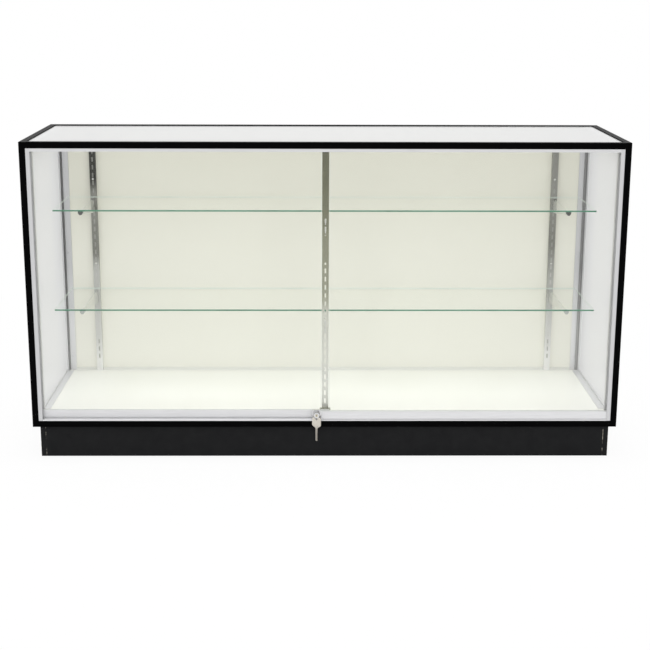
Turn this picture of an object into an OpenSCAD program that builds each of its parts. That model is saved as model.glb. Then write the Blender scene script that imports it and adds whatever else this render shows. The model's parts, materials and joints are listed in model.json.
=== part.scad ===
// Free-standing glass display case with two by-passing sliding doors,
// glass shelves on slotted standards, and a boarded base.
// Millimetres, +Z up, origin on the floor under the middle of the frame.
// The doors are on the near side, at -Y.

/* [Case] */
// Width over the frame
case_w = 1778; // [1300:1:2000]
// Depth over the frame
case_d = 508; // [480:1:650]
// Height from the floor to the top of the frame
case_h = 965; // [900:1:1100]

/* [Base] */
// Height of the frame above the floor
kick_h = 100; // [70:1:140]
// Thickness of the base boards
board_t = 16; // [12:0.5:20]
// Length of a corner block's two glued sides
block_leg = 45; // [30:1:60]
// Gap between a corner block and the floor
block_lift = 10; // [5:1:30]

/* [Frame] */
// Outside of the square frame tube
tube = 19; // [17:0.5:24]
// Wall of the frame tube
tube_wall = 1.6; // [1:0.1:2.2]
// Length of a corner connector's leg
leg_l = 42; // [28:1:80]
// Clearance round a connector's leg inside the tube
leg_fit = 0.1; // [0.05:0.05:0.4]

/* [Deck and back] */
// Thickness of the deck
deck_t = 25; // [18:0.5:30]
// Gap round the deck
deck_fit = 0.5; // [0.2:0.1:1.5]
// Thickness of the back panel
panel_t = 6; // [3:0.5:9]
// Gap above the back panel and at its sides
panel_fit = 0.5; // [0.2:0.1:1]
// Width of the bead on each end of the deck
bead_w = 21; // [12:0.5:30]
// Height of the deck beads
bead_h = 8; // [5:0.5:14]
// Thickness of the deck beads
bead_t = 1.6; // [1:0.1:2.5]

/* [Fixed glass] */
// Thickness of the end glass
end_t = 6; // [4:0.5:6.5]
// Gap between the end glass and the tubes
end_gap = 2; // [1.5:0.1:2.5]
// Side clearance of the end glass in its pockets
glass_fit = 0.5; // [0.2:0.1:0.8]
// Depth of the end glass inside its pockets
glass_bite = 6; // [4:0.5:8]
// Free depth behind the glass edge in its pockets
bite_gap = 2; // [1:0.5:3]
// Thickness of the strip under the end glass
setting_t = 1; // [0.5:0.1:2]
// Gap above the end glass
head_gap = 1; // [0.5:0.1:2]
// Thickness of the top glass
top_t = 6; // [5:0.5:8]
// Depth of the top glass below the top of the frame
top_recess = 3; // [1:0.5:4]
// Gap round the top glass
top_gap = 1; // [0.5:0.1:2]

/* [Ledges and channels] */
// Thickness of the ledges under the top glass
ledge_t = 2; // [1.5:0.1:2.5]
// Width of the side and rear ledges
ledge_w = 22; // [18:0.5:30]
// Thickness of the door jambs
jamb_t = 12; // [11:0.5:16]
// Thickness of the jamb behind the inner door groove
jamb_web = 7; // [4:0.5:12]
// Depth of the rear glass channels
channel_d = 17; // [13:0.5:24]
// Reach of a rear channel's flange over the back panel
flange_w = 25; // [15:0.5:40]
// Thickness of that flange
flange_t = 3; // [1.5:0.1:4]

/* [Tracks] */
// Distance between the planes of the two doors
door_pitch = 14.5; // [13.5:0.1:18]
// Setback of the tracks and jambs from the frame's face
track_inset = 1; // [0.5:0.1:3]
// Thickness of the tracks' bases
track_t = 1.6; // [1.2:0.1:2]
// Thickness of the tracks' lips
lip_t = 1.5; // [1:0.1:2]
// Height of the lower track's lips
lip_h = 4; // [3:0.1:4.5]
// Height of the upper track's lips
head_lip_h = 9; // [7:0.5:14]
// Width of a running rail
rail_w = 3; // [2:0.1:3.4]
// Height of a running rail above the bottom of the track
rail_h = 3.6; // [3.4:0.1:4.2]

/* [Doors] */
// Thickness of the door glass
door_t = 5; // [4:0.5:6]
// Overlap of the closed doors
door_overlap = 26; // [16:1:60]
// Reach of a closed door into its jamb
door_bite = 4; // [2:0.5:6]
// Free depth of the jamb groove beyond the door
door_gap = 4; // [2:0.5:4.5]
// Gap over a door inside the upper track
lift_gap = 2.4; // [1.5:0.1:4]
// Width of the shoe under a door
shoe_w = 11; // [10:0.1:12]
// Height of the shoe
shoe_h = 24; // [21:0.5:32]
// Height of the shoe's underside above the bottom of the track
shoe_lift = 5; // [4.8:0.1:7]
// Thickness of the shoe's web over the rollers
shoe_web = 2.5; // [1.5:0.1:4]
// Thickness of the gasket between a door and its shoe
gasket_t = 1; // [0.6:0.1:1.4]
// Running radius of a roller
roll_r = 5.2; // [4.6:0.1:5.6]
// Height of a roller's flanges above its running face
roll_flange = 1.2; // [0.8:0.1:1.6]
// Width of a roller
roll_w = 7; // [6.4:0.1:7.4]
// Clearance of a roller inside the shoe
roll_side = 0.5; // [0.3:0.1:0.8]
// Gap between a roller and its rail
roll_gap = 0.3; // [0.2:0.05:0.5]
// Clearance of the rail in a roller's groove
groove_fit = 0.4; // [0.2:0.1:0.6]
// Radius of a roller's axle
axle_r = 1.5; // [1:0.1:2]
// Running clearance of a roller on its axle
axle_run = 0.1; // [0.05:0.05:0.2]
// Clearance of an axle in the shoe
axle_fit = 0.05; // [0.05:0.05:0.1]
// Distance of a roller from the end of its shoe
roll_inset = 70; // [40:1:120]

/* [Standards] */
// Distance of a wall standard from the end of the case
standard_inset = 136; // [100:1:240]
// Width of a standard
standard_w = 20; // [16:0.5:26]
// Depth of a wall standard
standard_d = 13; // [10:0.5:18]
// Depth of the centre post
post_d = 14; // [11:0.5:20]
// Sheet thickness of the standards
standard_t = 1.5; // [1:0.1:2]
// Width of the centre post's foot
foot_w = 32; // [24:1:50]
// Thickness of the centre post's foot
foot_t = 2; // [1:0.1:4]
// Gap between the front edge of the deck and the post's foot
foot_setback = 0.5; // [0.5:0.1:6]
// Spacing of the slots
slot_pitch = 25.4; // [24:0.1:32]
// Width of a slot
slot_w = 4.6; // [3.6:0.1:6]
// Height of a slot
slot_h = 14.5; // [13:0.1:16]
// Distance of the first slot from the deck
slot_margin = 18; // [12:1:40]

/* [Shelves] */
// Thickness of the shelf glass
shelf_t = 5; // [4:0.5:8]
// Depth of the upper shelf
upper_d = 276; // [200:1:300]
// Depth of the lower shelf
lower_d = 312; // [200:1:330]
// Slot that holds the upper brackets
upper_slot = 22; // [18:1:24]
// Slot that holds the lower brackets
lower_slot = 10; // [4:1:14]
// Gap between a shelf and the end glass
shelf_end_gap = 26; // [10:1:60]
// Gap between a shelf and the wall standards
shelf_back_gap = 1.5; // [0.5:0.1:10]
// Overhang of a shelf in front of the bracket tips
shelf_overhang = 10; // [5:0.5:30]
// Thickness of a bracket's plate
bracket_t = 3; // [2:0.1:3.4]
// Height of a bracket at its root
root_h = 44; // [38:1:60]
// Depth of a bracket's root below its taper
root_d = 22; // [12:1:40]
// Height of a bracket at its tip
tip_h = 10; // [7:0.5:16]
// Height of a hook's neck
neck_h = 8; // [6:0.1:8]
// Drop of a hook behind the sheet
hook_drop = 5; // [3:0.1:5]
// Gap between a bracket and the sheet it hooks on
hook_gap = 0.2; // [0.1:0.05:0.4]
// Length of a rubber tip in front of its bracket
nose_t = 3; // [2:0.5:6]
// Length of a rubber tip along its bracket
tip_l = 15; // [10:1:30]
// Width of a rubber tip
tip_w = 14; // [10:0.5:20]
// Thickness of the rubber under a shelf
pad_t = 1.5; // [1:0.1:3]
// Side clearance of the rubber on a bracket
pad_fit = 0.05; // [0.05:0.05:0.1]
// Length of a rubber pad
pad_l = 18; // [10:1:40]
// Width of a rubber pad
pad_w = 8; // [6.5:0.5:12]
// Reach of a rubber pad down its bracket
pad_skirt = 5; // [3:0.5:7]

/* [Lock] */
// Width of the lock's case
lock_w = 26; // [22:0.5:40]
// Height of the lock's case
lock_h = 20; // [18:0.5:26]
// Corner radius of the lock's case
lock_round = 3; // [1:0.5:5]
// Height of the lock's axis above the underside of the shoe
lock_rise = 19; // [17:0.5:22]
// How far the lock's case stands in front of the shoe
lock_proud = 1.5; // [0.5:0.1:2]
// Radius of the lock's nose
nose_r = 6.5; // [6:0.1:7]
// Length of the lock's nose
nose_l = 24; // [23:0.5:28]
// Radius of the rim at the front of the nose
rim_r = 8.5; // [7.5:0.1:10]
// Thickness of that rim
rim_t = 2.5; // [1.5:0.1:3.5]
// Radius of the lock's plug
plug_r = 4.5; // [3.5:0.1:5]
// Running clearance of the plug
plug_run = 0.1; // [0.05:0.05:0.2]
// Depth of the plug inside the lock's case
plug_in = 4; // [3:0.5:8]
// Width of the keyway
keyway_w = 1.8; // [1.2:0.1:2.4]
// Height of the keyway
keyway_h = 6.5; // [4:0.1:6.6]
// Depth of the keyway
keyway_d = 12; // [8:0.5:20]

/* [Key] */
// Radius of the key ring to the middle of its wire
ring_r = 10.2; // [10:0.1:10.6]
// Radius of the key ring's wire
wire_r = 0.8; // [0.6:0.05:0.9]
// Gap between the ring and the lock's nose
ring_gap = 0.3; // [0.2:0.05:0.5]
// Turn of the ring about the vertical
ring_yaw = 30; // [20:1:34]
// Turn of the key about the vertical
key_yaw = -25; // [-30:1:-15]
// Thickness of the key
key_t = 2.2; // [1.6:0.1:2.6]
// Width of the key's bow
bow_w = 29; // [22:0.5:30]
// Height of the key's bow
bow_h = 33; // [28:0.5:40]
// Reach of the bow's round sides beyond half its height
bow_swell = 1.3; // [0.5:0.1:4]
// Radius of the hole in the bow
bow_hole_r = 3.2; // [3:0.1:4]
// Metal between that hole and the top of the bow
bow_rim = 4.2; // [3:0.1:4.2]
// Gap between the ring and the key's hole
key_gap = 0.2; // [0.1:0.05:0.4]
// Length of the key's blade with its collar
blade_l = 44; // [36:1:60]
// Width of the key's blade
blade_w = 6.2; // [6:0.1:10]
// Reach of the collar beyond each side of the blade
collar_side = 2; // [1:0.5:4]
// Height of the collar
collar_h = 3; // [2:0.5:5]
// Chamfer at the point of the blade
point = 1.6; // [1:0.1:2.5]
// Number of notches in the blade
notch_n = 4; // [2:1:5]
// Spacing of the notches
notch_pitch = 6.3; // [5:0.1:7]
// Depth of the deepest notch
notch_d = 1.5; // [1:0.1:2.5]

/* [Hidden] */

$fn = 48;
// Spare length of a cut beyond the faces it passes through
cut = 1;
LEFT = -1;
RIGHT = 1;
OUTER = 0;
INNER = 1;

// Faces of the frame
half = case_w / 2;
front = -case_d / 2;
rear = case_d / 2;
in_x = half - tube;
in_front = front + tube;
in_rear = rear - tube;
sill_z = kick_h + tube;
head_z = case_h - tube;
bar_w = tube - 2 * tube_wall;

// Tracks and door planes
track_y = front + track_inset;
track_w = 2 * door_pitch + lip_t;
groove_w = door_pitch - lip_t;
function door_y(plane) = track_y + plane * door_pitch + (door_pitch + lip_t) / 2;

// Jambs, end glass and its channels
jamb_x = in_x - jamb_t;
jamb_d = track_w + jamb_web + glass_bite + bite_gap - lip_t;
jamb_back = track_y + jamb_d;
glass_out = in_x - end_gap;
glass_in = glass_out - end_t;
pocket_in = glass_in - glass_fit;
pocket_w = end_t + 2 * glass_fit;
pocket_d = glass_bite + bite_gap;
panel_y = in_rear - panel_t;
channel_y = panel_y - channel_d;
glass_front = jamb_back - glass_bite;
glass_rear = channel_y + glass_bite;

// Deck
deck_top = sill_z + deck_t;
deck_x = jamb_x - deck_fit;
deck_front = track_y + track_w + deck_fit;
deck_rear = panel_y - flange_t - deck_fit;

// Ledges under the top glass
ledge_top = case_h - top_recess - top_t;
ledge_z = ledge_top - ledge_t;
leg_t = end_gap - glass_fit;
front_ledge_w = deck_front + foot_setback + foot_t + post_d + ledge_t - in_front;
front_ledge_back = in_front + front_ledge_w;
rear_ledge_front = in_rear - ledge_w;

// Shoe, rollers and doors
shoe_z = sill_z + shoe_lift;
axle_z = sill_z + rail_h + roll_gap + roll_r;
flange_r = roll_r + roll_flange;
cavity_w = roll_w + 2 * roll_side;
cavity_top = axle_z + flange_r + roll_side;
pocket_floor = cavity_top + shoe_web;
gasket_w = door_t + 2 * gasket_t;
door_in = -door_overlap / 2;
door_out = jamb_x + door_bite;
door_w = door_out - door_in;
door_z = pocket_floor + gasket_t;
door_top = head_z - track_t - lift_gap;

// Standards and shelves
standard_x = half - standard_inset;
wall_face = panel_y - standard_d;
post_y = deck_front + foot_setback + foot_t;
post_face = post_y + post_d;
slot_z = deck_top + slot_margin;
slot_n = floor((head_z - slot_z - slot_margin) / slot_pitch);
function seat_z(slot) = slot_z + slot * slot_pitch;
function shelf_z(slot) = seat_z(slot) + neck_h + pad_t;
shelf_x = glass_in - shelf_end_gap;
shelf_rear = wall_face - shelf_back_gap;
function bracket_reach(d) = d + shelf_back_gap - shelf_overhang - nose_t;

// Lock and key
lock_x = door_in - lock_w / 2;
lock_y = door_y(OUTER) - shoe_w / 2 - lock_proud;
lock_z = shoe_z + lock_rise;
nose_front = lock_y - nose_l;
ring_y = (lock_y + nose_front + rim_t) / 2;
ring_z = lock_z + nose_r + wire_r + ring_gap - ring_r;
hole_z = ring_z - ring_r + wire_r + key_gap - bow_hole_r;

// Placing

module on_side(s) {
  if (s == LEFT) mirror([1, 0, 0]) children();
  else children();
}

module along_x(x, l) {
  translate([x, 0, 0]) rotate([90, 0, 90]) linear_extrude(l) children();
}

module along_y(y, l) {
  translate([0, y + l, 0]) rotate([90, 0, 0]) linear_extrude(l) children();
}

module box(low, high) {
  translate(low) cube(high - low);
}

// Base

module kick_front() {
  color("#202124")
    box([board_t - in_x, in_front, 0], [in_x - board_t, in_front + board_t, sill_z]);
}

module kick_rear() {
  color("#202124")
    box([board_t - in_x, in_rear - board_t, 0], [in_x - board_t, in_rear, sill_z]);
}

module kick_side(s) {
  color("#202124")
    on_side(s) box([in_x - board_t, in_front, 0], [in_x, in_rear, sill_z]);
}

module kick_stretcher() {
  color("#b9a384")
    box([-board_t / 2, in_front + board_t, 0], [board_t / 2, in_rear - board_t, sill_z]);
}

module kick_corner_blocks() {
  color("#b9a384")
    for (sx = [-1, 1], sy = [-1, 1])
      translate([sx * (in_x - board_t), sy * (in_rear - board_t), block_lift])
        linear_extrude(sill_z - block_lift)
          polygon([[0, 0], [-sx * block_leg, 0], [0, -sy * block_leg]]);
}

// Frame of mitred tubes

module mitred_tube(l) {
  trapezium = [[0, 0], [l, 0], [l - tube, tube], [tube, tube]];
  difference() {
    intersection() {
      linear_extrude(tube) polygon(trapezium);
      along_y(0, tube) polygon(trapezium);
    }
    translate([-cut, tube_wall, tube_wall]) cube([l + 2 * cut, bar_w, bar_w]);
  }
}

module cross_rail(y_sign, z_sign) {
  color("#141416")
    translate([-half, y_sign * rear, z_sign > 0 ? case_h : kick_h])
      mirror([0, y_sign > 0 ? 1 : 0, 0])
        mirror([0, 0, z_sign > 0 ? 1 : 0])
          mitred_tube(case_w);
}

module side_rail(s, z_sign) {
  color("#141416")
    on_side(s)
      translate([half, front, z_sign > 0 ? case_h : kick_h])
        mirror([0, 0, z_sign > 0 ? 1 : 0])
          rotate([0, 0, 90])
            mitred_tube(case_d);
}

module corner_post(s, y_sign) {
  color("#141416")
    on_side(s)
      translate([half, y_sign * rear, kick_h])
        mirror([0, y_sign > 0 ? 1 : 0, 0])
          rotate([0, -90, 0])
            mitred_tube(case_h - kick_h);
}

module corner_connector() {
  leg = bar_w - 2 * leg_fit;
  start = tube_wall + leg_fit;
  translate([start, start, start]) {
    cube([leg_l, leg, leg]);
    cube([leg, leg_l, leg]);
    cube([leg, leg, leg_l]);
  }
}

module corner_connectors() {
  color("#8d9094")
    for (sx = [0, 1], sy = [0, 1], sz = [0, 1])
      translate([sx ? half : -half, sy ? rear : front, sz ? case_h : kick_h])
        mirror([sx, 0, 0]) mirror([0, sy, 0]) mirror([0, 0, sz])
          corner_connector();
}

// Deck and back

module deck() {
  color("#f4f3ec")
    box([-deck_x, deck_front, sill_z], [deck_x, deck_rear, deck_top]);
}

module back_panel() {
  color("#dfdfcc")
    box([panel_fit - in_x, panel_y, sill_z], [in_x - panel_fit, in_rear, ledge_z - panel_fit]);
}

module deck_end_bead(s) {
  color("#cfd0d2")
    on_side(s)
      along_y(jamb_back, channel_y - jamb_back)
        translate([glass_in - glass_fit - bead_w, deck_top]) {
          square([bead_w, bead_t]);
          translate([bead_w - bead_t, 0]) square([bead_t, bead_h]);
        }
}

module rear_deck_bead() {
  reach = jamb_x - flange_w - deck_fit;
  depth = flange_t + bead_h;
  color("#cfd0d2")
    difference() {
      along_x(-reach, 2 * reach)
        translate([panel_y, deck_top])
          polygon([[0, 0], [0, bead_h], [-bead_t, bead_h], [-depth, bead_t], [-depth, 0]]);
      for (s = [LEFT, RIGHT])
        translate([s * standard_x - standard_w / 2 - deck_fit, panel_y - depth - cut, deck_top - cut])
          cube([standard_w + 2 * deck_fit, depth + 2 * cut, bead_h + 2 * cut]);
    }
}

// Fixed glass and its holders

module end_glass(s) {
  color("#d9ece8", 0.35)
    on_side(s)
      box([glass_in, glass_front, sill_z + setting_t], [glass_out, glass_rear, ledge_z - head_gap]);
}

module glass_setting_strips() {
  color("#2b2b2d")
    for (s = [LEFT, RIGHT])
      on_side(s) box([glass_in, jamb_back, sill_z], [glass_out, channel_y, sill_z + setting_t]);
}

module top_glass() {
  color("#d9ece8", 0.35)
    box(
      [top_gap - in_x, in_front + top_gap, ledge_top],
      [in_x - top_gap, in_rear - top_gap, ledge_top + top_t]
    );
}

module front_ledge() {
  color("#cfd0d2")
    along_x(-in_x, 2 * in_x) {
      translate([in_front, ledge_z]) square([front_ledge_w, ledge_t]);
      translate([in_front, head_z]) square([ledge_t, ledge_z - head_z + ledge_t]);
    }
}

module rear_ledge() {
  color("#cfd0d2")
    along_x(-in_x, 2 * in_x) {
      translate([rear_ledge_front, ledge_z]) square([ledge_w, ledge_t]);
      translate([panel_y - ledge_t, head_z]) square([ledge_t, ledge_z - head_z + ledge_t]);
    }
}

module side_ledges() {
  leg_h = ledge_z - head_z + ledge_t;
  color("#cfd0d2")
    for (s = [LEFT, RIGHT])
      on_side(s)
        along_y(front_ledge_back, rear_ledge_front - front_ledge_back) {
          translate([in_x - ledge_w, ledge_z]) square([ledge_w, ledge_t]);
          translate([in_x - leg_t, head_z]) square([leg_t, leg_h]);
          translate([pocket_in - ledge_t, head_z]) square([ledge_t, leg_h]);
        }
}

module jamb(s) {
  color("#cfd0d2")
    on_side(s)
      translate([0, 0, sill_z])
        linear_extrude(head_z - sill_z)
          difference() {
            translate([jamb_x, track_y]) square([jamb_t, jamb_d]);
            for (plane = [OUTER, INNER])
              translate([jamb_x - cut, door_y(plane) - groove_w / 2])
                square([door_bite + door_gap + cut, groove_w]);
            translate([pocket_in, jamb_back - pocket_d]) square([pocket_w, pocket_d + cut]);
          }
}

module rear_channel(s) {
  color("#cfd0d2")
    on_side(s)
      translate([0, 0, sill_z])
        linear_extrude(head_z - sill_z)
          difference() {
            union() {
              translate([jamb_x, channel_y]) square([jamb_t, channel_d]);
              translate([jamb_x - flange_w, panel_y - flange_t]) square([flange_w + cut, flange_t]);
            }
            translate([pocket_in, channel_y - cut]) square([pocket_w, pocket_d + cut]);
          }
}

// Tracks

module track_section(lip) {
  translate([track_y, 0]) square([track_w, track_t]);
  for (i = [0 : 2])
    translate([track_y + i * door_pitch, 0]) square([lip_t, lip]);
}

module rail_section() {
  translate([-rail_w / 2, 0]) square([rail_w, rail_h - rail_w / 2]);
  translate([0, rail_h - rail_w / 2]) circle(d = rail_w);
}

module lower_track() {
  color("#cfd0d2")
    translate([0, 0, sill_z])
      along_x(-jamb_x, 2 * jamb_x) {
        track_section(lip_h);
        for (plane = [OUTER, INNER])
          translate([door_y(plane), 0]) rail_section();
      }
}

module upper_track() {
  color("#cfd0d2")
    translate([0, 0, head_z])
      mirror([0, 0, 1])
        along_x(-jamb_x, 2 * jamb_x) track_section(head_lip_h);
}

// Doors. The right door runs in the outer plane and the left door in the inner one.

function plane_of(s) = s == RIGHT ? OUTER : INNER;
function roller_x(end) = end == "a" ? door_in + roll_inset : door_out - roll_inset;

module door_glass(s) {
  y = door_y(plane_of(s));
  color("#d9ece8", 0.35)
    on_side(s) box([door_in, y - door_t / 2, door_z], [door_out, y + door_t / 2, door_top]);
}

module door_gasket(s) {
  color("#3a3b3d")
    on_side(s)
      along_x(door_in, door_w)
        translate([door_y(plane_of(s)), pocket_floor])
          difference() {
            translate([-gasket_w / 2, 0]) square([gasket_w, shoe_z + shoe_h - pocket_floor]);
            translate([-door_t / 2, gasket_t]) square([door_t, shoe_h]);
          }
}

module door_shoe(s) {
  y = door_y(plane_of(s));
  color("#d6d7d9")
    on_side(s)
      difference() {
        along_x(door_in, door_w)
          difference() {
            translate([y - shoe_w / 2, shoe_z]) square([shoe_w, shoe_h]);
            translate([y - gasket_w / 2, pocket_floor]) square([gasket_w, shoe_h]);
            translate([y - cavity_w / 2, shoe_z - cut]) square([cavity_w, cavity_top - shoe_z + cut]);
          }
        for (end = ["a", "b"])
          translate([roller_x(end), y - shoe_w, axle_z])
            rotate([-90, 0, 0]) cylinder(h = 2 * shoe_w, r = axle_r + axle_fit);
      }
}

module door_axles(s) {
  color("#9a9da0")
    on_side(s)
      for (end = ["a", "b"])
        translate([roller_x(end), door_y(plane_of(s)) - shoe_w / 2, axle_z])
          rotate([-90, 0, 0]) cylinder(h = shoe_w, r = axle_r);
}

module roller(s, end) {
  groove = rail_w / 2 + groove_fit;
  side = roll_w / 2;
  color("#e6e4da")
    on_side(s)
      translate([roller_x(end), door_y(plane_of(s)), axle_z])
        rotate([90, 0, 0])
          rotate_extrude()
            polygon([
              [axle_r + axle_run, -side], [flange_r, -side], [flange_r, -groove - groove_fit],
              [roll_r, -groove], [roll_r, groove],
              [flange_r, groove + groove_fit], [flange_r, side], [axle_r + axle_run, side]
            ]);
}

// Lock on the leading end of the right door, and its key

module lock_outline() {
  w = lock_w - 2 * lock_round;
  h = lock_h - 2 * lock_round;
  square([w, lock_h], center = true);
  square([lock_w, h], center = true);
  for (sx = [-1, 1], sy = [-1, 1])
    translate([sx * w / 2, sy * h / 2]) circle(lock_round);
}

module lock_case() {
  color("#b9bbbd")
    difference() {
      union() {
        along_y(lock_y, shoe_w + lock_proud) translate([lock_x, lock_z]) lock_outline();
        translate([lock_x, nose_front, lock_z])
          rotate([-90, 0, 0]) {
            cylinder(h = nose_l + cut, r = nose_r);
            cylinder(h = rim_t, r = rim_r);
          }
      }
      translate([lock_x, nose_front - cut, lock_z])
        rotate([-90, 0, 0]) cylinder(h = nose_l + plug_in + plug_run + cut, r = plug_r + plug_run);
    }
}

module lock_plug() {
  color("#cdb98a")
    difference() {
      translate([lock_x, nose_front, lock_z])
        rotate([-90, 0, 0]) cylinder(h = nose_l + plug_in, r = plug_r);
      translate([lock_x - keyway_w / 2, nose_front - cut, lock_z - keyway_h / 2])
        cube([keyway_w, keyway_d + cut, keyway_h]);
    }
}

module key_ring() {
  color("#6f6a63")
    translate([lock_x, ring_y, ring_z])
      rotate([0, 0, ring_yaw])
        rotate([90, 0, 0])
          rotate_extrude() translate([ring_r, 0]) circle(wire_r);
}

module key_outline() {
  top = bow_hole_r + bow_rim;
  neck = top - bow_h;
  collar_w = blade_w + 2 * collar_side;
  side = blade_w / 2;
  difference() {
    union() {
      intersection() {
        translate([0, top - bow_h / 2]) circle(bow_h / 2 + bow_swell);
        translate([-bow_w / 2, neck]) square([bow_w, bow_h]);
      }
      translate([-collar_w / 2, neck - collar_h]) square([collar_w, collar_h + cut]);
      translate([0, neck - blade_l])
        polygon([
          [-side, point], [point - side, 0], [side - point, 0], [side, point],
          [side, blade_l], [-side, blade_l]
        ]);
    }
    circle(bow_hole_r);
    for (i = [1 : notch_n])
      translate([side, neck - blade_l + i * notch_pitch])
        polygon([[0, notch_d], [-notch_d * (i % 2 + 1) / 2, 0], [0, -notch_d]]);
  }
}

module spare_key() {
  color("#c4bcac")
    translate([lock_x, ring_y, hole_z])
      rotate([0, 0, key_yaw])
        rotate([90, 0, 0]) linear_extrude(key_t, center = true) key_outline();
}

// Slotted standards

module slots(y) {
  for (i = [0 : slot_n - 1])
    translate([-slot_w / 2, y - cut, seat_z(i)]) cube([slot_w, standard_t + 2 * cut, slot_h]);
}

// Channel section with its slotted web on the side of +y
module channel_section(depth) {
  difference() {
    translate([-standard_w / 2, 0]) square([standard_w, depth]);
    translate([standard_t - standard_w / 2, -cut])
      square([standard_w - 2 * standard_t, depth - standard_t + cut]);
  }
}

module wall_standards() {
  color("#a9aaa6")
    for (s = [LEFT, RIGHT])
      translate([s * standard_x, 0, 0])
        difference() {
          translate([0, panel_y, deck_top])
            mirror([0, 1, 0]) linear_extrude(head_z - deck_top) channel_section(standard_d);
          slots(wall_face);
        }
}

module centre_post() {
  color("#a9aaa6") {
    difference() {
      translate([0, post_y, deck_top + foot_t])
        linear_extrude(ledge_z - deck_top - foot_t) channel_section(post_d);
      slots(post_face - standard_t);
    }
    box(
      [-foot_w / 2, post_y - foot_t, deck_top],
      [foot_w / 2, post_face + foot_t, deck_top + foot_t]
    );
  }
}

// Brackets, cushions and shelves

module bracket_outline(reach) {
  back = -standard_t - 2 * hook_gap - bracket_t;
  polygon([
    [hook_gap, neck_h], [reach, neck_h], [reach, neck_h - tip_h],
    [root_d, neck_h - root_h], [hook_gap, neck_h - root_h]
  ]);
  for (drop = [0, slot_pitch])
    translate([back, -drop]) {
      square([hook_gap - back, neck_h]);
      translate([0, -hook_drop]) square([bracket_t, neck_h + hook_drop]);
    }
}

module bracket(reach) {
  along_x(-bracket_t / 2, bracket_t) bracket_outline(reach);
}

// Places a child at the two wall standards and at the centre post
module at_supports(slot) {
  for (s = [LEFT, RIGHT])
    translate([s * standard_x, wall_face, seat_z(slot)]) mirror([0, 1, 0]) children();
  translate([0, post_face, seat_z(slot)]) children();
}

module upper_brackets() {
  color("#c3c4bf") at_supports(upper_slot) bracket(bracket_reach(upper_d));
}

module lower_brackets() {
  color("#c3c4bf") at_supports(lower_slot) bracket(bracket_reach(lower_d));
}

// Rubber slipped over a bracket's top edge, from y to y + l
module rubber_slip(y, l, w, skirt, end) {
  narrow = bracket_t / 2 + pad_t;
  slot_half = bracket_t / 2 + pad_fit;
  difference() {
    along_y(y, l)
      translate([0, neck_h])
        polygon([
          [-w / 2, pad_t], [w / 2, pad_t], [w / 2, -skirt / 2],
          [narrow, -skirt], [-narrow, -skirt], [-w / 2, -skirt / 2]
        ]);
    translate([-slot_half, y - cut, neck_h - 2 * skirt])
      cube([2 * slot_half, end - y + cut, 2 * skirt]);
  }
}

module tip_cushion(reach) {
  rubber_slip(reach + nose_t - tip_l, tip_l, tip_w, tip_h + pad_t, reach);
}

module pad_cushion(y) {
  rubber_slip(y, pad_l, pad_w, pad_skirt, y + pad_l + cut);
}

module cushions(slot, d) {
  reach = bracket_reach(d);
  at_supports(slot) tip_cushion(reach);
  for (s = [LEFT, RIGHT])
    translate([s * standard_x, wall_face, seat_z(slot)])
      mirror([0, 1, 0]) pad_cushion(shelf_back_gap + shelf_overhang);
  translate([0, shelf_rear - d + shelf_overhang, seat_z(slot)]) pad_cushion(0);
}

module shelf_cushions() {
  color("#2b2b2d") {
    cushions(upper_slot, upper_d);
    cushions(lower_slot, lower_d);
  }
}

module shelf(slot, d) {
  z = shelf_z(slot);
  color("#a9cfc0", 0.45)
    box([-shelf_x, shelf_rear - d, z], [shelf_x, shelf_rear, z + shelf_t]);
}

kick_front();
kick_rear();
kick_side(LEFT);  // kick_left
kick_side(RIGHT);  // kick_right
kick_stretcher();
kick_corner_blocks();
cross_rail(-1, -1);  // front_bottom_rail
cross_rail(-1, 1);  // front_top_rail
cross_rail(1, -1);  // rear_bottom_rail
cross_rail(1, 1);  // rear_top_rail
side_rail(LEFT, -1);  // left_bottom_rail
side_rail(LEFT, 1);  // left_top_rail
side_rail(RIGHT, -1);  // right_bottom_rail
side_rail(RIGHT, 1);  // right_top_rail
corner_post(LEFT, -1);  // front_left_post
corner_post(RIGHT, -1);  // front_right_post
corner_post(LEFT, 1);  // rear_left_post
corner_post(RIGHT, 1);  // rear_right_post
corner_connectors();
deck();
back_panel();
deck_end_bead(LEFT);  // left_deck_bead
deck_end_bead(RIGHT);  // right_deck_bead
rear_deck_bead();
end_glass(LEFT);  // left_end_glass
end_glass(RIGHT);  // right_end_glass
glass_setting_strips();
top_glass();
front_ledge();
rear_ledge();
side_ledges();
jamb(LEFT);  // left_jamb
jamb(RIGHT);  // right_jamb
rear_channel(LEFT);  // left_rear_channel
rear_channel(RIGHT);  // right_rear_channel
lower_track();
upper_track();
door_glass(LEFT);  // left_door_glass
door_gasket(LEFT);  // left_door_gasket
door_shoe(LEFT);  // left_door_shoe
door_axles(LEFT);  // left_door_axles
roller(LEFT, "a");  // left_roller_a
roller(LEFT, "b");  // left_roller_b
door_glass(RIGHT);  // right_door_glass
door_gasket(RIGHT);  // right_door_gasket
door_shoe(RIGHT);  // right_door_shoe
door_axles(RIGHT);  // right_door_axles
roller(RIGHT, "a");  // right_roller_a
roller(RIGHT, "b");  // right_roller_b
lock_case();
lock_plug();
key_ring();
spare_key();
wall_standards();
centre_post();
upper_brackets();
lower_brackets();
shelf_cushions();
shelf(upper_slot, upper_d);  // upper_shelf
shelf(lower_slot, lower_d);  // lower_shelf
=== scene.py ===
"""Looks of a free-standing glass display case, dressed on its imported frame.

Metres, +Z up. The doors are on the near side, at -Y, and the camera stands in front of them.
"""

import json
import math

import bpy
from mathutils import Matrix, Vector


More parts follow.
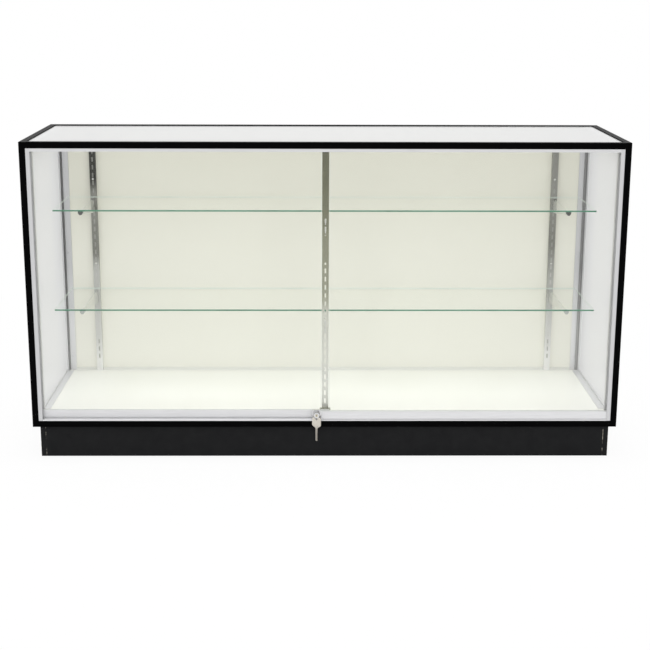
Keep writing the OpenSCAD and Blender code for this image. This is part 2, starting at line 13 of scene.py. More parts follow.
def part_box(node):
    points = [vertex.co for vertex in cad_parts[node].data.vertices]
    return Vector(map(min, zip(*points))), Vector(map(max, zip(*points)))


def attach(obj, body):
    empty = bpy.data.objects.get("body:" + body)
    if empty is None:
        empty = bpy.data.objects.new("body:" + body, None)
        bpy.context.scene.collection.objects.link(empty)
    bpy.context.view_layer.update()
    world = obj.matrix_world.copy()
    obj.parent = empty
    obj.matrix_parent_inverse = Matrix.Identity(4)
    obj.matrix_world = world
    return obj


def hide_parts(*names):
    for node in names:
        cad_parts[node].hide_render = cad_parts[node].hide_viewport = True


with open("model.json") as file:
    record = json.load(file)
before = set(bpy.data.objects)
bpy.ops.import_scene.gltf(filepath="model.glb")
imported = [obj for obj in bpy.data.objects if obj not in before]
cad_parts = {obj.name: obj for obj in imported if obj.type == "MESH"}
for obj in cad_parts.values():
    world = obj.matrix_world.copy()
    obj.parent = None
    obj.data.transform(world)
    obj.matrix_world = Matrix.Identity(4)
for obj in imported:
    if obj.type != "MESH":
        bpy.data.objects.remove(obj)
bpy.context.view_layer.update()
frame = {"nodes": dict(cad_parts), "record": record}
NODES = frame["nodes"]
RECORD = frame["record"]
BODY_OF = {node: body for body, held in RECORD["behaviour"]["bodies"].items() for node in held}
SIDES = ("left", "right")

# Camera, at the photograph's place
CAMERA_AT = (-0.043, -4.186, 1.412)
CAMERA_PAN = math.radians(-0.61)
CAMERA_TILT = math.radians(90 - 14.154)
CAMERA_ROLL = math.radians(0.17)
LENS_MM = 75.11
SENSOR_MM = 36
SIGHT_END = 100

# Studio light: its even strength all round, and two softboxes with their watts
AMBIENT = 0.8
SOFTBOXES = {
    "overhead": {"at": (0, 0.2, 3.4), "aim": (0, 0.05, 0.4), "size": (4.5, 1.6), "power": 59},
    "front_fill": {"at": (0, -4.6, 2.2), "aim": (0, 0.1, 0.4), "size": (4.0, 1.6), "power": 62},
}

# Floor: its width, the share of its own glow near the case, and where that becomes plain white
FLOOR_WIDTH = 60
FLOOR_GLOW = 0.93
SHADOW_REACH = (0.9, 2.4)

# Slots of the standards, as built: their pitch, the plain steel below the first, and their height
SLOT_PITCH = 0.0254
SLOT_MARGIN = 0.018
SLOT_HEIGHT = 0.0145

# Standards and rear channels, as built: a standard's half width and sheet, a flange's screw line from its
# inner edge, and its near face from the channel's back
STANDARD_HALF = 0.010
STANDARD_SHEET = 0.0015
FLANGE_INSET = 0.0125
FLANGE_BACK = 0.003

# Eased and rounded edges
TUBE_ROUND = 0.0012
MITRE_EASE = 0.0002
BOARD_EASE = 0.0010
EXTRUSION_EASE = 0.0002
SHEET_EASE = 0.0002
LOCK_EASE = 0.0006
KEY_EASE = 0.0003
ARRIS = 0.0007

# Steps across an eased edge and across a rounded one
EASED_STEPS = 2
ROUND_STEPS = 3

# Edges bent more than the first angle are eased, those bent less than the second are shaded smooth, and
# triangles that differ by less than the third are one face
EASED_ANGLE = math.radians(40)
SMOOTH_ANGLE = math.radians(50)
FLAT_ANGLE = math.radians(0.5)

# Points closer than this are one point
MERGE_GAP = 0.000002

# How closely an edge or a face's normal follows an axis, as the cosine of the angle between them
EDGE_ALONG = 0.999
SHEET_FACE = 0.99
LEVEL_FACE = 0.9
NEAR_FACE = 0.5
LEANING_FACE = 0.2

# Plated steel of the standards, the post and the lining behind the standards' slots: tone by height in
# metres, bright at the foot and darker above, which is painted shade. The right standard has its own painted
# shade, and the post has a dark band at its foot
LEFT_STANDARD = ((0.18, 0.84), (0.26, 0.66), (0.50, 0.50), (0.55, 0.21), (0.74, 0.25), (0.79, 0.03))
RIGHT_STANDARD = ((0.18, 0.84), (0.28, 0.66), (0.46, 0.44), (0.58, 0.21), (0.75, 0.29), (0.88, 0.25))
CENTRE_POST = (
    (0.150, 0.28), (0.157, 0.80), (0.22, 0.84), (0.44, 0.73), (0.49, 0.47), (0.66, 0.34), (0.80, 0.22),
    (0.90, 0.18))
# Lining tones paint what the slots show: a darker band of shade just above the foot and, higher up, the pale
# panel seen through them
SLOT_LINING = (
    (0.180, 0.84), (0.186, 0.48), (0.256, 0.48), (0.262, 0.66), (0.50, 0.56), (0.56, 0.36), (0.74, 0.40),
    (0.80, 0.28))

# How far the blotchy edges of that painted shade reach up and down, and how much blue it takes: 1 takes none
SHADE_BLOTCH = 0.05
LINING_BLOTCH = 0.01
STANDARD_YELLOWING = 1.08
POST_YELLOWING = 1.31

# Key: tone by height in metres, from the worn blade to the bow
KEY_TONES = (
    (0.070, (0.30, 0.275, 0.24)), (0.098, (0.38, 0.35, 0.31)), (0.106, (0.60, 0.565, 0.50)),
    (0.135, (0.68, 0.645, 0.58)))

# Rear channels and the cords in their corners: tone by height in metres, paler at the foot: painted light
# bounced from the white deck
CHANNEL_TONES = ((0.30, (0.80, 0.80, 0.81)), (0.50, (0.60, 0.60, 0.61)))
CORD_TONES = {"left": ((0.30, 0.28), (0.50, 0.13)), "right": ((0.30, 0.38), (0.50, 0.22))}

# Shelf cushions: their tone on the lower and on the upper brackets, by height in metres
CUSHION_TONES = ((0.42, (0.46, 0.47, 0.45)), (0.66, (0.10, 0.10, 0.095)))

# Back panel: its tone at the foot and at the top, which is darker and yellower: painted shade, with the foot
# painted brighter as if lit by the deck
PANEL_FOOT = (0.18, (0.85, 0.845, 0.775))
PANEL_TOP = (0.92, (0.742, 0.733, 0.637))

# Shades beside a finish's own: the drawing lines of an extrusion, and the bare and dusty places of rubber
LINE_SHADES = (0.93, 1.06)
BARE_RUBBER = (0.73, 0.7519, 0.73)
RUBBER_DUST = (1.5, 1.53, 1.47)

# Pan-head screws: the head, its crown and cross recess, and the turn from one screw to the next
HEAD_RADIUS = 0.0032
HEAD_HEIGHT = 0.0018
HEAD_SIDES = 28
CROWN_SHARE = 0.6
CROWN_STEPS = 4
RECESS_LENGTH = 0.0034
RECESS_WIDTH = 0.0008
RECESS_DEPTH = 0.0010
SCREW_STEP = math.radians(37)
FACING_DOORS = Matrix.Rotation(math.radians(90), 4, "X")

# Where the screws are: heights in the rear channels, and the slots of the standards that they sit above
FLANGE_SCREW_HEIGHTS = (0.189, 0.545, 0.900)
SCREWED_SLOTS = (2, 13, 24)

# Sealing bead round the top glass: how far it stands out, less on top, and its gap to the glass
BEAD_REACH = Vector((0.0009, 0.0009, -0.0006))
BEAD_CLEAR = 0.0001

# Rubber cords in the corners behind the end glass: their widths, depth, rounding and gap to the metal. Their
# grey and width also paint the shade in these corners, wider and paler on the right
CORD_WIDTHS = {"left": 0.0054, "right": 0.0085}
CORD_DEPTH = 0.0054
CORD_ROUND = 0.0020
CORD_CLEAR = 0.0001

# Thin strips that close slots from behind: their thickness, eased edge and gap to the steel
STRIP_THICK = 0.0005
STRIP_EASE = 0.0001
STRIP_CLEAR = 0.0001

# Strips behind the centre post, by their lowest and highest point in metres, and half their width
BACKING_HEIGHTS = {"post_backing_upper": (0.733, 0.944), "post_backing_middle": (0.600, 0.682)}
BACKING_HALF = 0.0085

# Lining inside the wall standards: the first and last slot of each run that holds no bracket, half its
# width and its lap past the slots. Its tones paint the shade and see-through of those slots
LINED_SLOTS = ((0, 8), (11, 20), (23, 28))
LINING_HALF = 0.0080
LINING_LAP = 0.0030

# How many faces of glass a ray of light may pass: the top, the shelves and a door lie behind one another
GLASS_LAYERS = 24

# Haze of the end and top glass: how far it is turned from the eye, 0 square on and 1 edge on, and how much
# it then covers
HAZE_TURN = (0.62, 0.78)
HAZE_COVER = (0.05, 0.985)
HAZE_ROUGHNESS = 0.015

# Values of a noise between which a finish changes, for a soft change, a clear one and sharp chips
SOFT_SPAN = (0.3, 0.7)
CLEAR_SPAN = (0.35, 0.65)
CHIP_SPAN = (0.5, 0.6)

# Stretch of a pattern: none, or drawn out along one axis
EVEN = (1, 1, 1)
DRAWN_OUT = 0.015
ALONG = {"x": (DRAWN_OUT, 1, 1), "y": (1, DRAWN_OUT, 1), "z": (1, 1, DRAWN_OUT)}
AXIS = {"x": Vector((1, 0, 0)), "y": Vector((0, 1, 0)), "z": Vector((0, 0, 1))}

WHITE = (1, 1, 1, 1)


# Shader nodes

def feed(tree, socket, value):
    """Sets the socket to a plain value, or links it to an output. A node stands for its first output."""
    if isinstance(value, bpy.types.Node):
        value = value.outputs[0]
    if isinstance(value, bpy.types.NodeSocket):
        tree.links.new(value, socket)
    else:
        socket.default_value = value


def add_node(tree, kind, **inputs):
    """A new shader node with the named inputs fed."""
    made = tree.nodes.new("ShaderNode" + kind)
    for name, value in inputs.items():
        feed(tree, made.inputs[name], value)
    return made


def combine(tree, operation, *values):
    """The greatest, the sum, the product or the like of the values."""
    maths = tree.nodes.new("ShaderNodeMath")
    maths.operation = operation
    for socket, value in zip(maths.inputs, values):
        feed(tree, socket, value)
    return maths


def mix(tree, share, first, second):
    """The first shader with the given share of the second."""
    mixed = tree.nodes.new("ShaderNodeMixShader")
    for socket, value in zip(mixed.inputs, (share, first, second)):
        feed(tree, socket, value)
    return mixed


def rescale(tree, value, old, new):
    """The value moved from the old range to the new one, and held within it."""
    scaler = add_node(tree, "MapRange", Value=value)
    for way, ends in (("From", old), ("To", new)):
        for end, limit in zip(("Min", "Max"), ends):
            feed(tree, scaler.inputs[way + " " + end], limit)
    return scaler


def own_place(tree):
    """The piece's own coordinates."""
    return tree.nodes.new("ShaderNodeTexCoord").outputs["Object"]


def seen_directly(tree):
    """1 for rays that show the background to the eye, straight or by way of metal and glass."""
    path = tree.nodes.new("ShaderNodeLightPath").outputs
    mirrored = combine(tree, "MAXIMUM", path["Is Glossy Ray"], path["Is Transmission Ray"])
    return combine(tree, "MAXIMUM", path["Is Camera Ray"], mirrored)


def show(tree, shader):
    """Makes the shader the surface of the tree's material."""
    feed(tree, tree.nodes["Material Output"].inputs["Surface"], shader)


# Building finishes

def grey(shade):
    """A colour with equal red, green and blue."""
    return (shade, shade, shade)


def surface(skin, socket, value):
    """Sets an input of the finish, or links it to something that varies over the piece."""
    tree = skin.node_tree
    feed(tree, tree.nodes["Principled BSDF"].inputs[socket], value)


def finish(name, colour, roughness, metallic=0.0, specular=0.5):
    """A plain finish, which patterns may then vary."""
    skin = bpy.data.materials.new(name)
    skin.use_nodes = True
    surface(skin, "Base Color", (*colour, 1))
    surface(skin, "Roughness", roughness)
    surface(skin, "Metallic", metallic)
    surface(skin, "Specular IOR Level", specular)
    return skin


def noise(skin, scale, detail, stretch=EVEN, roughness=0.5):
    """A noise pattern on the piece's own coordinates."""
    tree = skin.node_tree
    stretched = add_node(tree, "Mapping", Vector=own_place(tree), Scale=stretch)
    return add_node(tree, "TexNoise", Vector=stretched, Scale=scale, Detail=detail, Roughness=roughness)


def colour_along(skin, value, stops):
    """Colours the surface by the stops, each a value and its colour."""
    ramp = add_node(skin.node_tree, "ValToRGB", Fac=value)
    held = ramp.color_ramp.elements
    while len(held) < len(stops):
        held.new(1)
    for stop, (position, colour) in zip(held, stops):
        stop.position = position
        stop.color = (*colour, 1)
    surface(skin, "Base Color", ramp)


def tint(skin, value, dark, light, span=CLEAR_SPAN):
    """Colours the surface from dark to light as the value goes through the span."""
    colour_along(skin, value, tuple(zip(span, (dark, light))))


def by_height(skin, value, reach, stops):
    """Colours the surface by height, with the value shifting the heights up and down within the reach."""
    tree = skin.node_tree
    place = add_node(tree, "SeparateXYZ", Vector=own_place(tree))
    uneven = combine(tree, "MULTIPLY_ADD", value, reach, place.outputs["Z"])
    colour_along(skin, uneven, [(height + reach / 2, colour) for height, colour in stops])


def gloss(skin, value, smooth, rough):
    """Varies the roughness from smooth to rough with the value."""
    surface(skin, "Roughness", rescale(skin.node_tree, value, SOFT_SPAN, (smooth, rough)))


def relief(skin, value, depth):
    """Raises the surface by the value, depth metres from lowest to highest."""
    surface(skin, "Normal", add_node(skin.node_tree, "Bump", Distance=depth, Height=value))


# Finishes

def black_anodised(axis):
    """Satin black on a tube, with faint drawing lines along its length."""
    skin = finish("black_anodised_" + axis, (0.0012, 0.0012, 0.0014), roughness=0.42, specular=0.02)
    lines = noise(skin, scale=900, detail=3, stretch=ALONG[axis])
    tint(skin, lines, dark=(0.0006, 0.0006, 0.0007), light=(0.0018, 0.0018, 0.002))
    gloss(skin, lines, smooth=0.34, rough=0.46)
    relief(skin, lines, depth=0.00002)
    return skin


def black_laminate():
    """Charcoal laminate with a fine matt pebble."""
    skin = finish("black_laminate", (0.012, 0.012, 0.013), roughness=0.56, specular=0.08)
    mottle = noise(skin, scale=26, detail=6, roughness=0.7)
    pebble = noise(skin, scale=1500, detail=2)
    tint(skin, mottle, dark=(0.0095, 0.0097, 0.0105), light=(0.0125, 0.0128, 0.0135))
    gloss(skin, pebble, smooth=0.48, rough=0.64)
    relief(skin, pebble, depth=0.00005)
    return skin


def chipped_laminate():
    """The worn arris of a laminated board, where the pale core shows through in places."""
    skin = finish("chipped_laminate", (0.2, 0.19, 0.16), roughness=0.7, specular=0.2)
    chips = noise(skin, scale=60, detail=6, roughness=0.75)
    tint(skin, chips, dark=(0.012, 0.012, 0.013), light=(0.42, 0.39, 0.33), span=CHIP_SPAN)
    relief(skin, chips, depth=0.0003)
    return skin


def bare_board():
    """Unfinished board with a soft grain along its length."""
    skin = finish("bare_board", (0.58, 0.45, 0.31), roughness=0.7, specular=0.25)
    grain = noise(skin, scale=110, detail=8, stretch=(1, 0.05, 0.6), roughness=0.65)
    tint(skin, grain, dark=(0.46, 0.34, 0.22), light=(0.66, 0.53, 0.38))
    gloss(skin, grain, smooth=0.6, rough=0.8)
    relief(skin, grain, depth=0.0002)
    return skin


def white_melamine():
    """Warm white deck with a slight orange peel."""
    skin = finish("white_melamine", (0.90, 0.90, 0.86), roughness=0.38, specular=0.4)
    cloud = noise(skin, scale=5, detail=4)
    peel = noise(skin, scale=700, detail=2)
    tint(skin, cloud, dark=(0.885, 0.885, 0.835), light=(0.905, 0.905, 0.86))
    gloss(skin, peel, smooth=0.32, rough=0.44)
    relief(skin, peel, depth=0.00003)
    return skin


def cream_melamine():
    """Cream back panel with a fine even texture, darker and a little yellower towards the top: painted
    shade.
    """
    skin = finish("cream_melamine", PANEL_TOP[1], roughness=0.55, specular=0.2)
    grain = noise(skin, scale=1100, detail=2)
    by_height(skin, noise(skin, scale=4, detail=5), reach=0.1, stops=(PANEL_FOOT, PANEL_TOP))
    gloss(skin, grain, smooth=0.5, rough=0.62)
    relief(skin, grain, depth=0.00004)
    return skin


def satin_aluminium(name, axis, shade, metallic=0.55, blue=1.015):
    """Satin anodised extrusion, with fine drawing lines along it. Blue is its share beside red and green."""
    skin = finish(name + "_" + axis, grey(shade), roughness=0.42, metallic=metallic)
    lines = noise(skin, scale=1400, detail=4, stretch=ALONG[axis])
    low, high = (shade * share for share in LINE_SHADES)
    tint(skin, lines, dark=(low, low, low * blue), light=(high, high, high * blue))
    gloss(skin, lines, smooth=0.34, rough=0.5)
    relief(skin, lines, depth=0.00003)
    return skin


def channel_aluminium():
    """Satin extrusion of the rear channels, painted darker away from the deck and paler near it, for the
    deck's bounced light.
    """
    skin = satin_aluminium("channel_aluminium", "z", shade=CHANNEL_TONES[-1][1][0])
    by_height(skin, noise(skin, scale=900, detail=3, stretch=ALONG["z"]), reach=0.06, stops=CHANNEL_TONES)
    return skin


def cast_zinc():
    """Grey die-cast metal with a grainy skin."""
    skin = finish("cast_zinc", (0.45, 0.46, 0.48), roughness=0.5, metallic=0.8)
    grain = noise(skin, scale=500, detail=5)
    tint(skin, grain, dark=(0.38, 0.39, 0.41), light=(0.52, 0.53, 0.55))
    gloss(skin, grain, smooth=0.42, rough=0.6)
    relief(skin, grain, depth=0.0001)
    return skin


def bright_zinc():
    """Plated steel sheet of the brackets, with soft cloudy patches and fine roll marks."""
    skin = finish("bright_zinc", (0.74, 0.74, 0.71), roughness=0.36, metallic=0.6)
    cloud = noise(skin, scale=22, detail=5, roughness=0.6)
    marks = noise(skin, scale=700, detail=3, stretch=ALONG["y"])
    tint(skin, cloud, dark=(0.68, 0.68, 0.65), light=(0.76, 0.76, 0.73))
    gloss(skin, cloud, smooth=0.28, rough=0.46)
    relief(skin, marks, depth=0.00003)
    return skin


def height_shaded_zinc(name, tones, yellowing, reach=SHADE_BLOTCH):
    """Plated steel of the standards, bright at the foot and darker in blotches towards the top, which is
    painted shade.
    """
    stops = [(height, (tone, tone, tone ** yellowing)) for height, tone in tones]
    skin = finish(name, stops[0][1], roughness=0.4, metallic=0.5)
    blotch = noise(skin, scale=16, detail=4, roughness=0.6)
    marks = noise(skin, scale=700, detail=3, stretch=ALONG["z"])
    by_height(skin, blotch, reach, stops)
    gloss(skin, blotch, smooth=0.3, rough=0.5)
    relief(skin, marks, depth=0.00003)
    return skin


def drawn_steel():
    """Dark steel wire of the key ring."""
    skin = finish("drawn_steel", (0.30, 0.29, 0.28), roughness=0.34, metallic=0.9)
    marks = noise(skin, scale=800, detail=3)
    tint(skin, marks, dark=(0.20, 0.195, 0.19), light=(0.36, 0.35, 0.335))
    gloss(skin, marks, smooth=0.26, rough=0.44)
    return skin


def satin_chrome():
    """Plated case of the lock, dulled by handling."""
    skin = finish("satin_chrome", (0.74, 0.74, 0.75), roughness=0.24, metallic=0.85)
    marks = noise(skin, scale=900, detail=4)
    tint(skin, marks, dark=(0.66, 0.66, 0.67), light=(0.78, 0.78, 0.79))
    gloss(skin, marks, smooth=0.16, rough=0.32)
    return skin


def turned_brass():
    """Pale brass of the lock's plug, with a fine grain."""
    skin = finish("turned_brass", (0.70, 0.66, 0.55), roughness=0.32, metallic=0.7)
    grain = noise(skin, scale=1600, detail=2)
    tint(skin, grain, dark=(0.64, 0.60, 0.49), light=(0.75, 0.71, 0.60))
    gloss(skin, grain, smooth=0.24, rough=0.42)
    return skin


def worn_nickel():
    """Nickel plate on a key, a little yellowed and finely scratched."""
    skin = finish("worn_nickel", (0.60, 0.56, 0.48), roughness=0.4, metallic=0.5)
    stain = noise(skin, scale=160, detail=5, roughness=0.6)
    scratch = noise(skin, scale=2200, detail=3, stretch=(1, 1, 0.06))
    by_height(skin, stain, reach=0.03, stops=KEY_TONES)
    gloss(skin, scratch, smooth=0.3, rough=0.5)
    relief(skin, scratch, depth=0.00004)
    return skin


def dusty_rubber(name, shade):
    """Rubber with dust in its pores."""
    skin = finish(name, grey(shade), roughness=0.72, specular=0.3)
    dust = noise(skin, scale=300, detail=5)
    dark, light = ([shade * share for share in colour] for colour in (BARE_RUBBER, RUBBER_DUST))
    tint(skin, dust, dark, light)
    gloss(skin, dust, smooth=0.62, rough=0.82)
    relief(skin, dust, depth=0.0001)
    return skin


def corner_rubber(side):
    """Grey rubber of a corner cord, paler at the foot with painted light from the deck."""
    skin = dusty_rubber(side + "_cord_rubber", CORD_TONES[side][-1][1])
    stops = [(height, grey(tone)) for height, tone in CORD_TONES[side]]
    by_height(skin, noise(skin, scale=300, detail=5), reach=0.08, stops=stops)
    return skin


def worn_cushion():
    """Rubber of the shelf cushions, paler on the lower brackets."""
    skin = finish("worn_cushion", CUSHION_TONES[0][1], roughness=0.7, specular=0.3)
    dust = noise(skin, scale=300, detail=5)
    by_height(skin, dust, reach=0.1, stops=CUSHION_TONES)
    gloss(skin, dust, smooth=0.6, rough=0.8)
    return skin


def pale_vinyl():
    """Soft gasket between the door glass and its shoe."""
    skin = finish("pale_vinyl", (0.84, 0.85, 0.84), roughness=0.5, specular=0.4)
    dust = noise(skin, scale=260, detail=4, stretch=ALONG["x"])
    tint(skin, dust, dark=(0.79, 0.80, 0.79), light=(0.89, 0.90, 0.89))
    gloss(skin, dust, smooth=0.42, rough=0.58)
    return skin


def moulded_nylon():
    """Off-white rollers of the doors."""
    skin = finish("moulded_nylon", (0.80, 0.79, 0.73), roughness=0.45, specular=0.4)
    cloud = noise(skin, scale=240, detail=4)
    tint(skin, cloud, dark=(0.74, 0.73, 0.66), light=(0.84, 0.83, 0.77))
    gloss(skin, cloud, smooth=0.38, rough=0.52)
    return skin


def glass_edge(name, deep, pale):
    """The ground edge of a glass sheet, where the green of its thickness shows."""
    skin = finish(name, pale, roughness=0.3)
    streaks = noise(skin, scale=90, detail=5, stretch=(0.12, 1, 1), roughness=0.6)
    tint(skin, streaks, deep, pale, span=SOFT_SPAN)
    gloss(skin, streaks, smooth=0.2, rough=0.42)
    return skin


# Faces of glass

def bare_material(name):
    """A material whose surface is still to be made."""
    material = bpy.data.materials.new(name)
    material.use_nodes = True
    tree = material.node_tree
    tree.nodes.remove(tree.nodes["Principled BSDF"])
    return material


def only_in_front(tree, amount):
    """The amount on faces turned to the eye, and none on far faces or for light on its way to a surface."""
    turned_away = tree.nodes.new("ShaderNodeNewGeometry").outputs["Backfacing"]
    shading = tree.nodes.new("ShaderNodeLightPath").outputs["Is Shadow Ray"]
    left_out = combine(tree, "MAXIMUM", turned_away, shading)
    return rescale(tree, left_out, (0.0, 1.0), (amount, 0.0))


def clear_glass(name, through, index):
    """Flat glass seen through without bending.

    The side towards the eye carries the sheen of both sides: 2 f / (1 + f), where f is that of one side.
    """
    material = bare_material(name)
    tree = material.node_tree
    window = add_node(tree, "BsdfTransparent", Color=(*through, 1))
    sheen = add_node(tree, "BsdfGlossy", Color=WHITE, Roughness=0.0)
    one_side = add_node(tree, "Fresnel", IOR=index)
    twice = combine(tree, "MULTIPLY", one_side, 2)
    both_sides = combine(tree, "DIVIDE", twice, combine(tree, "ADD", one_side, 1))
    show(tree, mix(tree, only_in_front(tree, both_sides), window, sheen))
    return material


def hazy_glass(name, through, shade, lit_from_behind, shine):
    """Flat glass with a film of haze that covers what is behind it when it is seen at a low angle.

    Lit from behind is the share of the haze's light that comes from its far side, and shine is how much of
    the film mirrors.
    """
    material = bare_material(name)
    tree = material.node_tree
    window = add_node(tree, "BsdfTransparent", Color=(*through, 1))
    lit = add_node(tree, "BsdfDiffuse", Color=(*grey(shade), 1))
    lit_through = add_node(tree, "BsdfTranslucent", Color=(*grey(shade), 1))
    sheen = add_node(tree, "BsdfGlossy", Color=WHITE, Roughness=HAZE_ROUGHNESS)
    film = mix(tree, shine, mix(tree, lit_from_behind, lit, lit_through), sheen)
    turned = tree.nodes.new("ShaderNodeLayerWeight").outputs["Facing"]
    cover = rescale(tree, turned, HAZE_TURN, HAZE_COVER)
    show(tree, mix(tree, only_in_front(tree, cover), window, film))
    return material


# Building pieces

def deselect():
    if bpy.context.mode != "OBJECT":
        bpy.ops.object.mode_set(mode="OBJECT")
    bpy.ops.object.select_all(action="DESELECT")


def activate(piece):
    deselect()
    piece.select_set(True)
    bpy.context.view_layer.objects.active = piece


def edit_faces(piece, wanted):
    """Starts editing the piece, with only those faces selected whose normals are wanted."""
    activate(piece)
    bpy.ops.object.mode_set(mode="EDIT")
    bpy.ops.mesh.select_mode(type="FACE")
    bpy.ops.mesh.select_all(action="DESELECT")
    bpy.ops.object.mode_set(mode="OBJECT")
    for face in piece.data.polygons:
        face.select = wanted(face.normal)
    bpy.ops.object.mode_set(mode="EDIT")


def end_editing():
    """Back to whole pieces, with points as what is selected next time."""
    bpy.ops.mesh.select_mode(type="VERT")
    bpy.ops.object.mode_set(mode="OBJECT")


def join(pieces, name):
    """Makes the pieces one, under the name."""
    deselect()
    for piece in pieces:
        piece.select_set(True)
    bpy.context.view_layer.objects.active = pieces[0]
    bpy.ops.object.join()
    whole = bpy.context.active_object
    whole.name = name
    return whole


def block(name, low, high):
    """A box between two corners, as a start for a piece."""
    deselect()
    bpy.ops.mesh.primitive_cube_add(size=1, location=(low + high) / 2, scale=high - low)
    piece = bpy.context.active_object
    piece.name = name
    bpy.ops.object.transform_apply(location=True, rotation=True, scale=True)
    return piece


def bevel(piece, width, steps, by="ANGLE"):
    """Eases the sharp edges of the piece, or those that carry a weight."""
    activate(piece)
    ease = piece.modifiers.new("ease", "BEVEL")
    ease.width = width
    ease.segments = steps
    ease.limit_method = by
    ease.angle_limit = EASED_ANGLE
    bpy.ops.object.modifier_apply(modifier=ease.name)


def smooth(piece):
    """Smooth shading over rounded edges, with the large faces kept flat."""
    activate(piece)
    bpy.ops.object.shade_smooth_by_angle(angle=SMOOTH_ANGLE)
    level = piece.modifiers.new("level", "WEIGHTED_NORMAL")
    level.keep_sharp = True
    bpy.ops.object.modifier_apply(modifier=level.name)


def round_long_edges(piece, axis, width):
    """Rounds the edges that run along the axis and leaves the ends sharp."""
    weights = piece.data.attributes.new("bevel_weight_edge", "FLOAT", "EDGE")
    for edge in piece.data.edges:
        start, end = (piece.data.vertices[v].co for v in edge.vertices)
        along = (end - start).normalized().dot(AXIS[axis])
        weights.data[edge.index].value = 1.0 if abs(along) > EDGE_ALONG else 0.0
    bevel(piece, width, ROUND_STEPS, "WEIGHT")


# Pieces that stand for CAD nodes

def stand_for(piece, node):
    """The piece rides where the CAD node does and is shown in its place, with the node hidden."""
    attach(piece, BODY_OF[node])
    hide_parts(node)


def merged_copy(node, name, plain=True):
    """A copy of a CAD node's mesh. Plain joins its triangles into whole faces."""
    piece = bpy.data.objects.new(name, NODES[node].data.copy())
    bpy.context.scene.collection.objects.link(piece)
    piece.data.materials.clear()
    activate(piece)
    bpy.ops.mesh.customdata_custom_splitnormals_clear()
    bpy.ops.object.mode_set(mode="EDIT")
    bpy.ops.mesh.select_all(action="SELECT")
    bpy.ops.mesh.remove_doubles(threshold=MERGE_GAP)
    if plain:
        bpy.ops.mesh.dissolve_limited(angle_limit=FLAT_ANGLE)
    bpy.ops.object.mode_set(mode="OBJECT")
    return piece


def eased(node, suffix, width, skin, plain=True):
    """The CAD node's own shape with its sharp edges eased. Pierced faces stay in triangles, not plain."""
    piece = merged_copy(node, node + suffix, plain)
    bevel(piece, width, EASED_STEPS)
    smooth(piece)
    piece.data.materials.append(skin)
    stand_for(piece, node)
    return piece


def chip_corners(board, skin):
    """Lets the pale core show on the eased upright edges of a laminated board."""
    board.data.materials.append(skin)
    for face in board.data.polygons:
        leaning = abs(face.normal.x) > LEANING_FACE and abs(face.normal.y) > LEANING_FACE
        if leaning and abs(face.normal.z) < LEANING_FACE:
            face.material_index = len(board.data.materials) - 1


def finish_right_half(piece, skin):
    """Gives the right-hand half of the piece its own finish."""
    piece.data.materials.append(skin)
    for face in piece.data.polygons:
        face.material_index = 1 if face.center.x > 0 else 0


def tube(node, axis):
    """A mitred frame tube with rounded long edges and a fine line at its mitres."""
    piece = merged_copy(node, node + "_tube")
    round_long_edges(piece, axis, TUBE_ROUND)
    bevel(piece, MITRE_EASE, steps=1)
    smooth(piece)
    piece.data.materials.append(BLACK[axis])
    stand_for(piece, node)


def pane(node, thin, face, edge, front_edge=None):
    """A sheet of glass with ground edges. Thin is the axis across its thickness. A front edge may differ."""
    piece = block(node + "_pane", *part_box(node))
    bevel(piece, ARRIS, EASED_STEPS)
    smooth(piece)
    piece.data.materials.append(face)
    piece.data.materials.append(edge)
    for polygon in piece.data.polygons:
        polygon.material_index = 0 if abs(polygon.normal.dot(AXIS[thin])) > SHEET_FACE else 1
    if front_edge:
        piece.data.materials.append(front_edge)
        for polygon in piece.data.polygons:
            if polygon.normal.y < -NEAR_FACE:
                polygon.material_index = 2
    stand_for(piece, node)


def dress(node, skin):
    """Gives a CAD node that keeps its own shape its finish."""
    NODES[node].data.materials.clear()
    NODES[node].data.materials.append(skin)


# Fasteners and thin trim

def fit_to_case(piece, skin):
    """Gives a piece of trim its finish and lets it ride with the case."""
    piece.data.materials.append(skin)
    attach(piece, "case")


def pan_head():
    """A cross-recessed pan head at the origin, its seat on the XY plane and its crown towards +Z."""
    deselect()
    bpy.ops.mesh.primitive_cylinder_add(vertices=HEAD_SIDES, radius=HEAD_RADIUS, depth=HEAD_HEIGHT)
    head = bpy.context.active_object
    head.data.transform(Matrix.Translation((0, 0, HEAD_HEIGHT / 2)))
    edit_faces(head, lambda normal: normal.z > LEVEL_FACE)
    bpy.ops.mesh.bevel(offset=HEAD_HEIGHT * CROWN_SHARE, segments=CROWN_STEPS)
    end_editing()
    top = Vector((0, 0, HEAD_HEIGHT))
    half = Vector((RECESS_LENGTH, RECESS_WIDTH, RECESS_DEPTH * 2)) / 2
    for across in (half, Vector((half.y, half.x, half.z))):
        cutter = block("recess", top - across, top + across)
        activate(head)
        recess = head.modifiers.new("recess", "BOOLEAN")
        recess.object = cutter
        recess.solver = "EXACT"
        bpy.ops.object.modifier_apply(modifier=recess.name)
        bpy.data.objects.remove(cutter)
    smooth(head)
    return head


def fasten(name, head, places, skin):
    """Copies of the head at each place, facing the doors and joined into one set."""
    copies = []
    for number, place in enumerate(places):
        mesh = head.data.copy()
        spin = Matrix.Rotation(SCREW_STEP * number, 4, "Z")
        mesh.transform(Matrix.Translation(place) @ FACING_DOORS @ spin)
        screw = bpy.data.objects.new(name, mesh)
        bpy.context.scene.collection.objects.link(screw)
        copies.append(screw)
    screws = join(copies, name)
    screws.data.materials.clear()
    fit_to_case(screws, skin)


def standard_middles():
    """X of the middle of each wall standard."""
    low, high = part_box("wall_standards")
    return low.x + STANDARD_HALF, high.x - STANDARD_HALF


def standard_slot(number):
    """Z of the lower end of a slot of the wall standards."""
    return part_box("wall_standards")[0].z + SLOT_MARGIN + SLOT_PITCH * number


